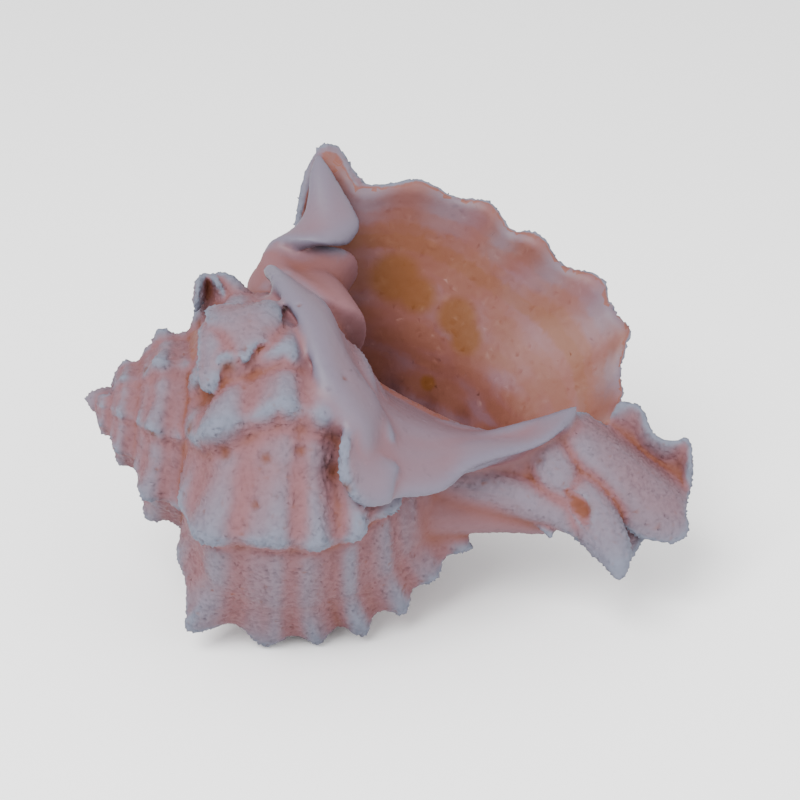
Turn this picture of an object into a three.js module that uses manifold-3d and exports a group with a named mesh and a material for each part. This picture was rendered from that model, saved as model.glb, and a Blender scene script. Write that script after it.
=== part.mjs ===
// Murex shell: a six to seven varix muricid with a low spire, a wide aperture with a flared
// lip, a raised callus shield on the inner lip, and an open siphonal canal.
// The shell grew as one piece, so it is one solid. Millimetres, +Z up.
//
// Growth frame: the coiling axis runs along +X from the apex, with the apex at the origin.
// A point is given by its distance from the axis, its distance along the axis from the apex,
// and its bearing round the axis, which is 0 straight up and grows towards -Y.
import * as THREE from "three";
import { mergeVertices } from "three/addons/utils/BufferGeometryUtils.js";
import Module from "manifold-3d";

const wasm = await Module();
wasm.setup();

// ---- Driving dimensions -------------------------------------------------------------
const EXPANSION_PER_TURN = 1.8; // how much larger each whorl is than the one before
const LIP_BEARING = -20; // degrees, bearing of the finished outer lip
const OLDEST_TURN = -1350; // degrees of growth before the lip at which the model starts
const WALL = 3.0; // wall thickness at the lip's growth stage
const LIP_EDGE = 1.6; // thickness of the lip's free edge
const VARIX_HEIGHT = 5.2; // how far a varix stands out, at the lip's growth stage
const VARIX_RAMP = 22; // degrees of growth over which a varix rises
const VARIX_OVERHANG = 3.2; // how far a varix edge leans towards the lip
const LIP_FLARE_SPAN = 34; // degrees of growth over which the lip turns outwards
const REST_PITCH = 12.2; // degrees that the axis dips towards the canal at rest
const REST_ROLL = -27.8; // degrees that the shell is rolled about its axis at rest

// Growth angles of the varices before the lip, in degrees. Older ones follow evenly.
const VARICES = [-52, -105, -158, -219, -260, -281, -332];
const OLDER_VARIX_STEP = 45;
while (VARICES.at(-1) > OLDEST_TURN) VARICES.push(VARICES.at(-1) - OLDER_VARIX_STEP);

// Outer half of the whorl's section at the lip: [distance from axis, distance along it,
// how far the spine on that cord stands out beyond the varix, how far the lip turns outwards].
const OUTER = [
  [25.5, 32.5, 0, 0],
  [32, 35, 0, 2],
  [37.5, 38.2, 0.5, 4],
  [42.5, 43, 5.5, 9],
  [44.8, 50, 0, 11.5],
  [45.5, 57, 2.6, 14],
  [45, 63, 0, 15],
  [43, 68.5, 2.6, 15.5],
  [41, 73, 0, 15],
  [38.8, 77.5, 2.4, 14.5],
  [36.2, 81.5, 0, 16],
  [33, 85.5, 2.4, 17.5],
  [29.3, 89.3, 0, 18.5],
  [25, 92.5, 2.4, 17.5],
  [20.5, 96, 0, 12.5],
  [15.5, 99, 2.2, 6.5],
  [10, 102, 0, 2],
];
// Inner half of the section, back along the columella and over the whorl before.
const INNER = [
  [5.5, 101],
  [4.5, 93],
  [6, 84],
  [8, 75],
  [10.5, 66],
  [13.5, 57.5],
  [17.5, 50],
  [21.5, 42],
];
const SECTION = [...OUTER, ...INNER];

// The varix at the back that the shell lies on: millimetres worn off its spines, by station,
// with the shoulder spine longer than its neighbours'.
const REST_VARIX = -105;
const REST_WEAR = { 3: -2.5, 4: 1.5, 5: 5, 6: 2.5, 7: 2 };

const radians = THREE.MathUtils.degToRad;
const growth = (turn) => EXPANSION_PER_TURN ** (turn / 360);

// ---- Growth frame to points ---------------------------------------------------------
function place(out, along, bearing) {
  const a = radians(bearing);
  return new THREE.Vector3(along, -out * Math.sin(a), out * Math.cos(a));
}

// Unit normal of the section at station i, in the plane through the axis.
function sectionNormal(i) {
  const a = SECTION.at(i - 1);
  const b = SECTION[(i + 1) % SECTION.length];
  const length = Math.hypot(b[0] - a[0], b[1] - a[1]);
  return [(b[1] - a[1]) / length, -(b[0] - a[0]) / length];
}

// How far the shell stands out at a growth angle and station, and how far it leans forward.
function ornament(turn, station) {
  if (station >= OUTER.length) return [0, 0];
  const edge = Math.min(1, station / 2, (OUTER.length - 0.5 - station) / 1.5);
  let stand = 0;
  let lean = 0;
  for (const varix of VARICES) {
    const past = turn - varix;
    if (past < -VARIX_RAMP || past > 4) continue;
    const rise = past <= 0 ? ((past + VARIX_RAMP) / VARIX_RAMP) ** 2 : 1 - past / 4;
    const sharp = past <= 0 ? ((past + VARIX_RAMP) / VARIX_RAMP) ** 5 : 1 - past / 4;
    const worn = varix === REST_VARIX ? (REST_WEAR[station] ?? 0) : 0;
    const spine = OUTER[station][2] - worn;
    stand = Math.max(stand, VARIX_HEIGHT * edge * rise + spine * sharp);
    lean = Math.max(lean, VARIX_OVERHANG * edge * rise);
  }
  const size = growth(turn);
  return [stand * size, lean * size];
}

// How much of the lip's flare has opened at a growth angle, from 0 to 1.
const openingAt = (turn) => Math.max(0, (turn + LIP_FLARE_SPAN) / LIP_FLARE_SPAN) ** 2;

// One point of the outer surface.
function outerPoint(turn, station) {
  const size = growth(turn);
  const [nOut, nAlong] = sectionNormal(station);
  const [stand, lean] = ornament(turn, station);
  const flare = openingAt(turn) * (SECTION[station][3] ?? 0);
  const [out, along] = SECTION[station];
  const r = out * size + nOut * (stand + flare);
  const x = along * size + nAlong * (stand + flare);
  const ahead = THREE.MathUtils.radToDeg(lean / Math.max(r, 1));
  return place(r, x, LIP_BEARING + turn + ahead);
}

// ---- Solids from rings --------------------------------------------------------------
// A closed skin over rings of equally many points, with a fan over each end.
function loft(rings) {
  const sides = rings[0].length;
  const points = rings.flat();
  const centre = (ring) =>
    ring.reduce((sum, p) => sum.add(p), new THREE.Vector3()).divideScalar(ring.length);
  const first = points.push(centre(rings[0])) - 1;
  const last = points.push(centre(rings.at(-1))) - 1;
  const faces = [];
  for (let i = 0; i + 1 < rings.length; i++) {
    for (let j = 0; j < sides; j++) {
      const a = i * sides + j;
      const b = i * sides + ((j + 1) % sides);
      faces.push(a, b, a + sides, b, b + sides, a + sides);
    }
  }
  const top = (rings.length - 1) * sides;
  for (let j = 0; j < sides; j++) {
    faces.push(first, (j + 1) % sides, j);
    faces.push(last, top + j, top + ((j + 1) % sides));
  }
  return new THREE.BufferGeometry().setFromPoints(points).setIndex(faces);
}

// A solid for cutting and joining, turned right side out if its rings ran the other way.
function solid(geometry) {
  geometry.deleteAttribute("normal");
  geometry.deleteAttribute("uv");
  const merged = mergeVertices(geometry, 1e-4);
  const vertProperties = merged.attributes.position.array;
  const triVerts = new Uint32Array(merged.index.array);
  let made = new wasm.Manifold(new wasm.Mesh({ numProp: 3, vertProperties, triVerts }));
  if (made.volume() < 0) {
    made = new wasm.Manifold(
      new wasm.Mesh({ numProp: 3, vertProperties, triVerts: triVerts.reverse() }),
    );
  }
  return made;
}

// The same solid with its sealed hollows filled.
const filled = (made) => made.decompose().sort((a, b) => b.volume() - a.volume())[0];

// A tapering limb along a curve: each stop is [point, half width, half thickness].
function limb(stops, flatwards, sides = 10, steps = 8) {
  const path = new THREE.CatmullRomCurve3(stops.map(([p]) => p));
  const rings = [];
  for (let i = 0; i <= steps; i++) {
    const t = i / steps;
    const at = path.getPoint(t);
    const along = path.getTangent(t);
    const wide = new THREE.Vector3().crossVectors(along, flatwards).normalize();
    const thick = new THREE.Vector3().crossVectors(wide, along).normalize();
    const k = Math.min(stops.length - 2, Math.floor(t * (stops.length - 1)));
    const f = t * (stops.length - 1) - k;
    const w = THREE.MathUtils.lerp(stops[k][1], stops[k + 1][1], f);
    const h = THREE.MathUtils.lerp(stops[k][2], stops[k + 1][2], f);
    const ring = [];
    for (let j = 0; j < sides; j++) {
      const a = (2 * Math.PI * j) / sides;
      ring.push(
        at
          .clone()
          .addScaledVector(wide, w * Math.cos(a))
          .addScaledVector(thick, h * Math.sin(a)),
      );
    }
    rings.push(ring);
  }
  return solid(loft(rings));
}

// ---- Whorls -------------------------------------------------------------------------
// Growth angles at which a stretch of whorl gets a ring: at each varix's foot, rise, edge
// and drop, and evenly between.
function ringTurns(from, to, even) {
  const turns = new Set([from, to]);
  for (let t = from; t < to; t += even) turns.add(t);
  for (const varix of VARICES) {
    for (const step of [-VARIX_RAMP * 0.5, -VARIX_RAMP * 0.2, 0, 4]) {
      if (varix + step > from && varix + step < to) turns.add(varix + step);
    }
  }
  const sorted = [...turns].sort((a, b) => a - b);
  return sorted.filter((t, i) => i === 0 || t - sorted[i - 1] > 1.5 || t === to);
}

// A stretch of whorl, solid right through.
function whorl(from, to, even) {
  return solid(
    loft(ringTurns(from, to, even).map((turn) => SECTION.map((_, i) => outerPoint(turn, i)))),
  );
}

// The living chamber: the whorl's section, drawn in by the wall towards its middle. The
// outer half takes every other station.
const CHAMBER_MIDDLE = [27, 66];
function chamber(from, to, even) {
  const stations = [...SECTION.keys()].filter((i) => i % 2 === 1 || i >= OUTER.length);
  const rings = ringTurns(from, to, even).map((turn) => {
    const size = growth(turn);
    const opening = openingAt(Math.min(turn, 0));
    const wall = THREE.MathUtils.lerp(WALL * size, LIP_EDGE, opening);
    return stations.map((i) => {
      const [out, along, , flare = 0] = SECTION[i];
      const reach = Math.hypot(out - CHAMBER_MIDDLE[0], along - CHAMBER_MIDDLE[1]);
      const shift = (opening * flare - wall) / reach;
      const r = (out + (out - CHAMBER_MIDDLE[0]) * shift) * size;
      const x = (along + (along - CHAMBER_MIDDLE[1]) * shift) * size;
      return place(Math.max(r, 1.5 * size), x, LIP_BEARING + turn);
    });
  });
  return solid(loft(rings));
}

let shell = whorl(-352, 0, 15);
shell = shell.add(whorl(-704, -350, 20));
shell = shell.add(whorl(-1056, -702, 24));
shell = shell.add(whorl(OLDEST_TURN, -1054, 30));

// The pillar that the whorls turn round, up to the canal.
const pillarProfile = [
  [0, 1.2],
  [3, 6],
  [5.5, 30],
  [9, 60],
  [7, 100],
  [0, 104],
].map(([r, x]) => new THREE.Vector2(r, x));
const pillarGeometry = new THREE.LatheGeometry(pillarProfile, 16);
pillarGeometry.rotateZ(-Math.PI / 2);
shell = shell.add(solid(pillarGeometry));

// ---- Canal, older canals and shoulder spine -----------------------------------------
const TOWARDS_APERTURE = 80; // degrees, the bearing that the flat of the canal faces
const flat = place(1, 0, TOWARDS_APERTURE);
// Each stop is [from axis, along axis, bearing, half width, half thickness].
const limbOf = (rows, sides, steps) =>
  limb(
    rows.map(([out, along, bearing, wide, thick]) => [place(out, along, bearing), wide, thick]),
    flat,
    sides,
    steps,
  );
const limbs = [
  // the open canal in use
  [
    [9, 82, 30, 9, 6],
    [7, 95, 40, 9.5, 5],
    [7, 108, 45, 11, 4],
    [5.5, 120, 60, 9.5, 2.2],
  ],
  // fronds on the canal's end
  [
    [11, 104, 10, 6, 3],
    [14, 112, 10, 4, 2.2],
    [14, 120, 15, 1.5, 1.2],
  ],
  [
    [4, 108, 140, 6, 3],
    [6, 116, 150, 4, 2],
    [8, 123, 150, 1.5, 1.2],
  ],
  // the canal of the varix before the lip, left standing off the axis
  [
    [5, 70, 110, 8, 6],
    [8, 84, 112, 7, 5.5],
    [12.5, 97, 120, 6, 4.5],
    [20.5, 108.5, 136, 2, 1.6],
  ],
  // the ridge of worn older canals
  [
    [13, 54, 140, 10, 7.5],
    [9, 68, 150, 9, 6.5],
    [6, 82, 155, 7.5, 5.5],
    [6, 95, 158, 5, 4],
  ],
];
for (const rows of limbs) shell = shell.add(limbOf(rows, 12, 8));
const lipSpine = [
  [42, 43, -24, 8, 4],
  [53, 39.5, -21, 5, 3],
  [62.5, 37, -19, 1.2, 1],
];
shell = shell.add(limbOf(lipSpine, 10, 6));

// ---- Callus shield ------------------------------------------------------------------
// The inner lip is spread over the whorl below. Each row crosses it, from the wall of the
// chamber, over the crest, to the free edge, as [from axis, along axis, bearing].
const SHIELD_ROWS = [
  [[26, 35, -22], [31, 36, 5], [34, 31.5, 22]],
  [[23, 41, -24], [29.5, 42, 28], [32.5, 38, 47]],
  [[19, 48, -24], [25, 49, 48], [31.5, 44.5, 72]],
  [[15, 56, -24], [21, 57, 66], [29, 52, 94]],
  [[11.5, 65, -24], [17.5, 65, 70], [26, 61, 102]],
  [[8.5, 75, -24], [14.5, 74, 64], [18.5, 72, 96]],
  [[7, 85, -20], [12.5, 83, 48], [14, 84, 68]],
  [[9, 93, -10], [13, 91, 30], [14, 93, 32]],
];
const SHIELD_DEPTH = [5, 4, 2]; // how deep the underside lies at the wall, crest and edge

function shieldRing(row, steps) {
  const side = (sink) =>
    new THREE.CatmullRomCurve3(
      row.map(([out, along, bearing], i) => place(out - sink * SHIELD_DEPTH[i], along, bearing)),
    ).getPoints(steps);
  return [...side(0), ...side(1).reverse()];
}
shell = filled(shell.add(solid(loft(SHIELD_ROWS.map((row) => shieldRing(row, 6))))));

// ---- Living chamber -----------------------------------------------------------------
shell = filled(shell.subtract(chamber(-330, 3, 15)));

// ---- The finished mesh, laid on its varices -----------------------------------------
function geometryOf(made) {
  const { vertProperties, triVerts } = made.getMesh();
  return new THREE.BufferGeometry()
    .setAttribute("position", new THREE.BufferAttribute(vertProperties, 3))
    .setIndex(new THREE.BufferAttribute(triVerts, 1));
}

const material = new THREE.MeshStandardMaterial({
  color: 0xd9c3c2,
  roughness: 0.6,
  metalness: 0,
});
const shellMesh = new THREE.Mesh(geometryOf(shell), material);
shellMesh.name = "shell";

const laid = new THREE.Group();
laid.rotation.order = "YXZ";
laid.rotation.set(radians(REST_ROLL), radians(REST_PITCH), 0);
laid.add(shellMesh);

// The origin is under the middle of the shell, on the surface that it rests on.
laid.updateMatrixWorld(true);
const box = new THREE.Box3().setFromObject(laid, true);
const middle = box.getCenter(new THREE.Vector3());
laid.position.set(-middle.x, -middle.y, -box.min.z);

const murexShell = new THREE.Group();
murexShell.add(laid);
export default murexShell;
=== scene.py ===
import math

import bmesh
import bpy
import numpy as np
from mathutils import Matrix, Vector, kdtree


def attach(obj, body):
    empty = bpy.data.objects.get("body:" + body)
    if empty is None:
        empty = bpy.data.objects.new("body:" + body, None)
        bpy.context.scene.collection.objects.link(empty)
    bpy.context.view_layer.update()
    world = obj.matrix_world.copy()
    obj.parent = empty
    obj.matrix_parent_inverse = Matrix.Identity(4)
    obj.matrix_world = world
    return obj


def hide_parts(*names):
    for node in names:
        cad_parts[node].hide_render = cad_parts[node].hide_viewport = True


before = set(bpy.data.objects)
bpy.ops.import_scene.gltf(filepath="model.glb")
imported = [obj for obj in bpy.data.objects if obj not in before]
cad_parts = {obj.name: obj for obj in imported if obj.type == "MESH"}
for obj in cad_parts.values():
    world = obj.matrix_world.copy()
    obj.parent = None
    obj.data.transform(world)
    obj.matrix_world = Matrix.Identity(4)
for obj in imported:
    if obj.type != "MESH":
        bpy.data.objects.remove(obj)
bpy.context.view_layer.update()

# ---- Camera -------------------------------------------------------------------------
# A short telephoto from the front and above, close enough that the far side looks smaller.
LOOK_AT = Vector((0.00057, 0.0002, 0.043))
elevation, distance = math.radians(27), 0.372
camera_data = bpy.data.cameras.new("camera")
camera_data.lens = 85
camera_data.sensor_width = 36
camera = bpy.data.objects.new("camera", camera_data)
bpy.context.collection.objects.link(camera)
back = Vector((0, -math.cos(elevation), math.sin(elevation)))
camera.location = LOOK_AT + distance * back
camera.rotation_euler = back.to_track_quat("Z", "Y").to_euler()
bpy.context.scene.camera = camera


# ---- Shell: the coiled whorls -----------------------------------------------------------
# One piece of shell carbonate, grown by adding to its lip: a section that swells as it
# turns about the axis, with ribs along the coil and a raised varix at each pause in growth.
# Growth frame: millimetres, +X from the apex along the axis; bearing 0 is up, 90 is -Y.
EXPANSION = 1.8
LIP_BEARING = -20
OLDEST_TURN = -1350
# Section at the lip: out from the axis, along it, how far the spine on that rib reaches,
# and how far the finished lip turns outwards there.
OUTER = [
    (25.5, 32.5, 0, 0), (32, 35, 0, 2), (37.5, 38.2, 0.5, 4), (42.5, 43, 5.5, 9),
    (44.8, 50, 0, 11.5), (45.5, 57, 2.6, 14), (45, 63, 0, 15), (43, 68.5, 2.6, 15.5),
    (41, 73, 0, 15), (38.8, 77.5, 2.4, 14.5), (36.2, 81.5, 0, 16), (33, 85.5, 2.4, 17.5),
    (29.3, 89.3, 0, 18.5), (25, 92.5, 2.4, 17.5), (20.5, 96, 0, 12.5), (15.5, 99, 2.2, 6.5),
    (10, 102, 0, 2),
]
INNER = [
    (5.5, 101), (4.5, 93), (6, 84), (8, 75), (10.5, 66), (13.5, 57.5), (17.5, 50), (21.5, 42),
]
PER_STATION = 8
WALL = 3.0
# Degrees of growth over which the lip's spine is drawn out, and its edge is scalloped.
LIP_SPINE_SPAN = 18.0
LIP_EDGE_SPAN = 9.0
SPINE_STATION = 3.1


def spline(points, per_step, closed=False):
    """Points on a Catmull-Rom curve through points, per_step to each step."""
    points = np.asarray(points, float)
    if closed:
        padded = np.concatenate([points[-1:], points, points[:2]])
    else:
        before, after = 2 * points[0] - points[1], 2 * points[-1] - points[-2]
        padded = np.concatenate([[before], points, [after]])
    out = []
    for i in range(1, len(padded) - 2):
        a, b, c, d = padded[i - 1 : i + 3]
        for t in np.arange(per_step) / per_step:
            out.append(
                0.5 * (2 * b + (c - a) * t + (2 * a - 5 * b + 4 * c - d) * t**2
                       + (3 * b - a - 3 * c + d) * t**3)
            )
    if not closed:
        out.append(points[-1])
    return np.array(out)


def mesh_object(name, points, faces=(), **attributes):
    """A mesh object in the growth frame, with float or vector attributes on its points."""
    mesh = bpy.data.meshes.new(name)
    mesh.from_pydata([tuple(p) for p in points], [], [tuple(f) for f in faces])
    for key, values in attributes.items():
        values = np.asarray(values, float)
        kind = "FLOAT_VECTOR" if values.ndim == 2 else "FLOAT"
        field = "vector" if values.ndim == 2 else "value"
        mesh.attributes.new(key, kind, "POINT").data.foreach_set(field, values.ravel())
    made = bpy.data.objects.new(name, mesh)
    bpy.context.collection.objects.link(made)
    return made


def section_object():
    """The section as points, each with its outward normal and its rib, spine and edge fade."""
    stations = [p[:2] for p in OUTER] + INNER
    line = spline(stations, PER_STATION, closed=True)
    ahead, behind = np.roll(line, -1, 0), np.roll(line, 1, 0)
    run = ahead - behind
    run /= np.linalg.norm(run, axis=1, keepdims=True)
    across = np.stack([run[:, 1], -run[:, 0], 0 * run[:, 0]], 1)
    at = np.arange(len(line)) / PER_STATION
    last = len(OUTER) - 0.5
    edge = np.clip(np.minimum(at / 2, (last - at) / 1.5), 0, 1)
    beat = 0.5 - 0.5 * np.cos(math.pi * at)  # 1 on each odd station, where a main rib runs
    fine = 0.5 - 0.5 * np.cos(2 * math.pi * at)
    strength = 0.85 + 0.3 * np.sin(2.3 * at)  # no two cords are alike
    rib = edge * strength * (beat**1.6 + 0.25 * fine)
    length = np.interp(at, np.arange(len(OUTER)), [p[2] for p in OUTER], right=0)
    spine = edge * length * np.clip(beat, 0, 1) ** 1.5 * (length > 0)
    flare = np.interp(at, np.arange(len(OUTER)), [p[3] for p in OUTER], right=0)
    points = np.column_stack([line, flare])
    return mesh_object("section", points, across=across, ribs=np.stack([rib, spine, edge], 1))


def add(tree, kind, *values, **settings):
    """Adds a node with its settings, and fills its inputs in order.

    A kind in capitals is a Math node's operation. A value is a constant, a socket, or a node
    whose first output is meant, and None leaves an input as it is.
    """
    if kind.isupper():
        kind, settings["operation"] = "ShaderNodeMath", kind
    made = tree.nodes.new(kind)
    for name, setting in settings.items():
        setattr(made, name, setting)
    for socket, value in zip([s for s in made.inputs if s.enabled], values):
        if isinstance(value, bpy.types.Node):
            value = next(s for s in value.outputs if s.enabled)
        if isinstance(value, bpy.types.NodeSocket):
            tree.links.new(value, socket)
        elif value is not None:
            socket.default_value = value
    return made


def growth_tree():
    """The rule of growth as a node tree: rings of the section, swelling as they turn."""
    tree = bpy.data.node_groups.new("growth spiral", "GeometryNodeTree")
    face = tree.interface
    face.new_socket("Geometry", in_out="OUTPUT", socket_type="NodeSocketGeometry")
    for name, kind in (
        ("Section", "Object"), ("Varices", "Object"), ("From turn", "Float"),
        ("To turn", "Float"), ("Rings", "Int"), ("Expansion per turn", "Float"),
        ("Lip bearing", "Float"), ("Varix height", "Float"), ("Varix ramp", "Float"),
        ("Varix overhang", "Float"), ("Rib height", "Float"), ("Lip flare", "Float"),
        ("Flare span", "Float"), ("Lip scallop", "Float"), ("Lip spine", "Float"),
        ("Lip spine width", "Float"), ("Wall", "Float"),
        ("Lip edge", "Float"), ("Seed", "Int"), ("Material", "Material"),
    ):
        face.new_socket(name, in_out="INPUT", socket_type="NodeSocket" + kind)
    given = add(tree, "NodeGroupInput").outputs
    vectors, smooth = {"data_type": "FLOAT_VECTOR"}, {"interpolation_type": "SMOOTHSTEP"}
    ranged, attribute = "ShaderNodeMapRange", "GeometryNodeInputNamedAttribute"

    # Rings of points, each numbered by its ring and by its station on the section.
    section = add(tree, "GeometryNodeObjectInfo", given["Section"]).outputs["Geometry"]
    varices = add(tree, "GeometryNodeObjectInfo", given["Varices"]).outputs["Geometry"]
    stations = add(tree, "GeometryNodeAttributeDomainSize", section)
    last_ring = add(tree, "SUBTRACT", given["Rings"], 1.0)
    tube = add(
        tree, "GeometryNodeMeshCylinder", stations, last_ring, 1, 1.0, 1.0, fill_type="NGON"
    )
    index = add(tree, "GeometryNodeInputIndex")
    ring = add(tree, "FLOOR", add(tree, "DIVIDE", add(tree, "ADD", index, 0.5), stations))
    station = add(tree, "SUBTRACT", index, add(tree, "MULTIPLY", ring, stations))
    edge_ring = add(tree, "SUBTRACT", last_ring, 1.0)
    turn = add(tree, ranged, ring, 0.0, edge_ring, given["From turn"], given["To turn"])
    size = add(tree, "POWER", given["Expansion per turn"], add(tree, "DIVIDE", turn, 360.0))
    carried = {}
    for name in ("position", "across", "ribs"):
        values = add(tree, attribute, name, **vectors)
        carried[name] = add(tree, "GeometryNodeSampleIndex", section, values, station, **vectors)
    rib, spine, edge = add(tree, "ShaderNodeSeparateXYZ", carried["ribs"]).outputs

    # Each varix in turn: how high it stands here, and how sharp its edge is.
    count = add(tree, "GeometryNodeAttributeDomainSize", varices).outputs["Point Count"]
    opens, closes = (tree.nodes.new("GeometryNodeRepeat" + k) for k in ("Input", "Output"))
    opens.pair_with_output(closes)
    closes.repeat_items.clear()
    for name in ("Rise", "Sharp"):
        closes.repeat_items.new("FLOAT", name)
    tree.links.new(count, opens.inputs["Iterations"])
    step = opens.outputs["Iteration"]
    which = add(tree, "GeometryNodeInputPosition")
    varix = add(tree, "GeometryNodeSampleIndex", varices, which, step, **vectors)
    at, height, reach = add(tree, "ShaderNodeSeparateXYZ", varix).outputs
    spiny = add(tree, attribute, "spiny", data_type="FLOAT")
    spiny = add(tree, "GeometryNodeSampleIndex", varices, spiny, step, data_type="FLOAT")
    free = add(tree, "SUBTRACT", reach, add(tree, "DIVIDE", station, float(PER_STATION)))
    free = add(tree, "MULTIPLY", free, 1.0, use_clamp=True)
    bend = add(tree, attribute, "bend", **vectors)
    bend = add(tree, "GeometryNodeSampleIndex", varices, bend, step, **vectors)
    at_shoulder, at_base, _ = add(tree, "ShaderNodeSeparateXYZ", bend).outputs
    near = add(tree, ranged, station, 2.0 * PER_STATION, 5.0 * PER_STATION, 1.0, 0.0)
    far = add(tree, ranged, station, 8.0 * PER_STATION, 13.0 * PER_STATION, 0.0, 1.0)
    at = add(tree, "MULTIPLY_ADD", at_shoulder, near, at)
    at = add(tree, "MULTIPLY_ADD", at_base, far, at)
    past = add(tree, "SUBTRACT", turn, at)
    ramp = add(tree, "MULTIPLY", given["Varix ramp"], -1.0)
    up = add(tree, ranged, past, ramp, 0.0, 0.0, 1.0)
    swollen = add(tree, ranged, past, ramp, 0.0, 0.0, 1.0, **smooth)
    down = add(tree, ranged, past, -1.5, 9.0, 1.0, 0.0, **smooth)
    rise = add(tree, "MULTIPLY", add(tree, "POWER", swollen, 1.3), down)
    rise = add(tree, "MULTIPLY", add(tree, "MULTIPLY", rise, height), free)
    cord = add(tree, "ROUND", add(tree, "DIVIDE", station, 16.0))
    cord = add(tree, "ADD", add(tree, "MULTIPLY", step, 64.0), cord)
    uneven = add(
        tree, "FunctionNodeRandomValue", 0.55, 1.35, cord, given["Seed"], data_type="FLOAT"
    )
    sharp = add(tree, "MULTIPLY", add(tree, "POWER", up, 4.5), down)
    sharp = add(tree, "MULTIPLY", add(tree, "MULTIPLY", sharp, uneven), spiny)
    sharp = add(tree, "MULTIPLY", sharp, free)
    for item, value in (("Rise", rise), ("Sharp", sharp)):
        highest = add(tree, "MAXIMUM", opens.outputs[item], value)
        tree.links.new(highest.outputs[0], closes.inputs[item])
    rise, sharp = closes.outputs["Rise"], closes.outputs["Sharp"]

    # The lip turns outwards over its last stretch, and its edge is scalloped by the ribs.
    opening = add(tree, ranged, turn, add(tree, "MULTIPLY", given["Flare span"], -1.0), 0.0)
    opening = add(tree, "MULTIPLY", opening, opening)
    stand = add(tree, "MULTIPLY", add(tree, "MULTIPLY", given["Varix height"], edge), rise)
    stand = add(tree, "ADD", stand, add(tree, "MULTIPLY", spine, sharp))
    ribbed = add(tree, "MULTIPLY_ADD", add(tree, "POWER", rise, 0.6), 1.1, 0.6)
    swell = add(tree, "MULTIPLY", add(tree, "MULTIPLY", given["Rib height"], rib), ribbed)
    stand = add(tree, "MULTIPLY", add(tree, "ADD", stand, swell), size)
    outline = carried["position"]
    turned_out = add(tree, "ShaderNodeSeparateXYZ", outline).outputs["Z"]
    flare = add(tree, "MULTIPLY", given["Lip flare"], turned_out)
    flare = add(tree, "MULTIPLY", flare, opening)
    thick = add(tree, "MULTIPLY", given["Wall"], size)
    wall = add(tree, ranged, opening, 0.0, 1.0, thick, given["Lip edge"])
    closing = add(tree, "GREATER_THAN", ring, add(tree, "ADD", edge_ring, 0.5))
    closing = add(tree, "MULTIPLY", closing, 4.0)
    scalloped = add(tree, "MULTIPLY", given["Lip scallop"], rib)
    waved = add(tree, "MULTIPLY", scalloped, add(tree, "MULTIPLY", opening, 0.4))
    flare = add(tree, "ADD", flare, waved)
    out_by = add(tree, "ADD", stand, flare)
    out_by = add(tree, "SUBTRACT", out_by, add(tree, "ADD", wall, closing))
    flat = add(tree, "ShaderNodeVectorMath", outline, size, operation="SCALE")
    shift = add(tree, "ShaderNodeVectorMath", carried["across"], out_by, operation="SCALE")
    moved = add(tree, "ShaderNodeVectorMath", flat, shift, operation="ADD")
    out, along, _ = add(tree, "ShaderNodeSeparateXYZ", moved).outputs

    # The lip's shoulder spine is the lip itself drawn out into an open trough.
    off = add(tree, "SUBTRACT", station, SPINE_STATION * PER_STATION)
    off = add(tree, "DIVIDE", off, given["Lip spine width"])
    trough = add(tree, "MULTIPLY", add(tree, "MULTIPLY", off, off), -1.0)
    trough = add(tree, "MULTIPLY", given["Lip spine"], add(tree, "EXPONENT", trough))
    late = add(tree, ranged, turn, -LIP_SPINE_SPAN, 0.0)
    trough = add(tree, "MULTIPLY", trough, add(tree, "POWER", late, 2.2))
    out = add(tree, "ADD", out, trough)
    along = add(tree, "MULTIPLY_ADD", trough, -0.1, along)
    out = add(tree, "MAXIMUM", out, add(tree, "MULTIPLY", size, 1.2))

    # Turned to its bearing, with the varices leaning forward and the lip's edge scalloped.
    near_lip = add(tree, "POWER", add(tree, ranged, turn, -LIP_EDGE_SPAN, 0.0), 2.0)
    scallop = add(tree, "MULTIPLY", scalloped, near_lip)
    lean = add(tree, "MULTIPLY", given["Varix overhang"], edge)
    lean = add(tree, "MULTIPLY", lean, add(tree, "MULTIPLY", rise, size))
    ahead = add(tree, "ADD", lean, scallop)
    ahead = add(tree, "DIVIDE", ahead, add(tree, "MAXIMUM", out, 1.0))
    bearing = add(tree, "RADIANS", add(tree, "ADD", turn, given["Lip bearing"]))
    bearing = add(tree, "ADD", bearing, ahead)
    y = add(tree, "MULTIPLY", out, add(tree, "SINE", bearing))
    y = add(tree, "MULTIPLY", y, -1.0)
    z = add(tree, "MULTIPLY", out, add(tree, "COSINE", bearing))
    final = add(tree, "ShaderNodeCombineXYZ", along, y, z)
    moved = add(tree, "GeometryNodeSetPosition", tube, None, final)
    real = add(tree, "GeometryNodeRealizeInstances", moved)
    painted = add(tree, "GeometryNodeSetMaterial", real, None, given["Material"])
    add(tree, "NodeGroupOutput", painted)
    return tree


def evaluated(made):
    """A plain mesh object of an object with its modifiers applied; the object is removed."""
    ready = made.evaluated_get(bpy.context.evaluated_depsgraph_get())
    plain = bpy.data.objects.new(made.name, bpy.data.meshes.new_from_object(ready))
    bpy.context.collection.objects.link(plain)
    bpy.data.objects.remove(made)
    return plain


def grown(name, tree, **inputs):
    """A stretch of the coil made by the growth tree with these inputs."""
    made = mesh_object(name, [(0, 0, 0)])
    modifier = made.modifiers.new("growth", "NODES")
    modifier.node_group = tree
    for item in tree.interface.items_tree:
        if item.in_out == "INPUT" and item.name in inputs:
            modifier[item.identifier] = inputs[item.name]
    return evaluated(made)


section = section_object()
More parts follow.
